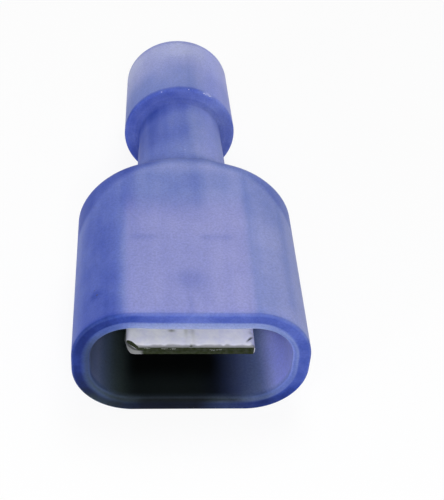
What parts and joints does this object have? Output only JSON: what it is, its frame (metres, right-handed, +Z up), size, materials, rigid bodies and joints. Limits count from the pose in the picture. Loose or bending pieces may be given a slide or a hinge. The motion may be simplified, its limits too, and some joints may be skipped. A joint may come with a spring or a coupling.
{
  "type": "insulated male spade terminal",
  "caption": "Crimp spade terminal with a flat folded tab inside a blue nylon shroud, a round neck and a wire entry collar.",
  "frame": {"origin": "on the surface that the part lies on, under the wire axis, halfway along the part's length", "axes": "+Y along the wire axis from the mouth of the shroud towards the wire entry, +X across the tab, +Z up, square to the flat of the tab"},
  "size_m": [0.0116, 0.0248, 0.0068],
  "materials": {
    "nylon": "satin translucent blue nylon",
    "tinned_brass": "tin plated sheet with bare cut edges",
    "tinned_copper": "tin plated thin tube"
  },
  "bodies": {
    "root": {"housing": "nylon", "terminal": "tinned_brass", "grip_sleeve": "tinned_copper"}
  },
  "joints": []
}
